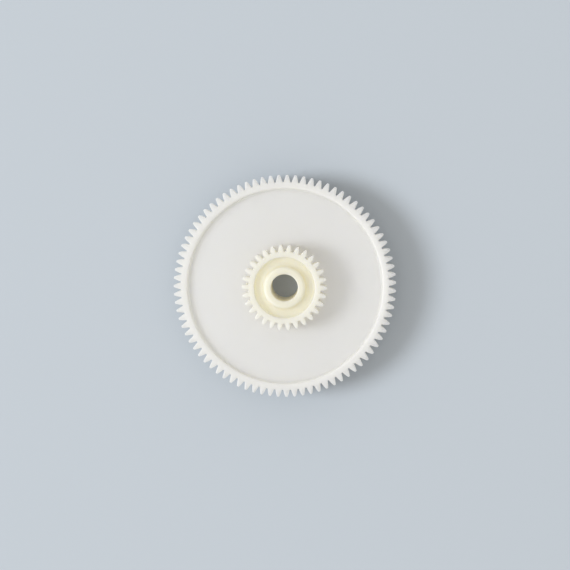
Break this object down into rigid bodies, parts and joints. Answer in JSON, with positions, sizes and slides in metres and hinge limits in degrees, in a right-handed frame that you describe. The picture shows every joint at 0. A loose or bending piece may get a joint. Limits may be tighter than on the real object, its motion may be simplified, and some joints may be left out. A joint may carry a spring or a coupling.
{
  "type": "compound spur gear",
  "caption": "Two-step moulded spur gear: a wide thin-webbed wheel keyed on the shank of a small pinion with a recessed end, a raised hub and a plain shaft bore.",
  "frame": {"origin": "on the bore's axis, at the rear end of the boss that the gear stands on", "axes": "+Z along the bore, from the rear boss towards the pinion; +X and +Y across the wheel"},
  "size_m": [0.051, 0.051, 0.0158],
  "materials": {
    "white_acetal": "natural white moulded acetal, satin, slightly translucent",
    "ivory_acetal": "natural ivory moulded acetal, satin, slightly translucent"
  },
  "bodies": {
    "root": {"wheel": "white_acetal", "pinion_hub": "ivory_acetal"}
  },
  "joints": []
}
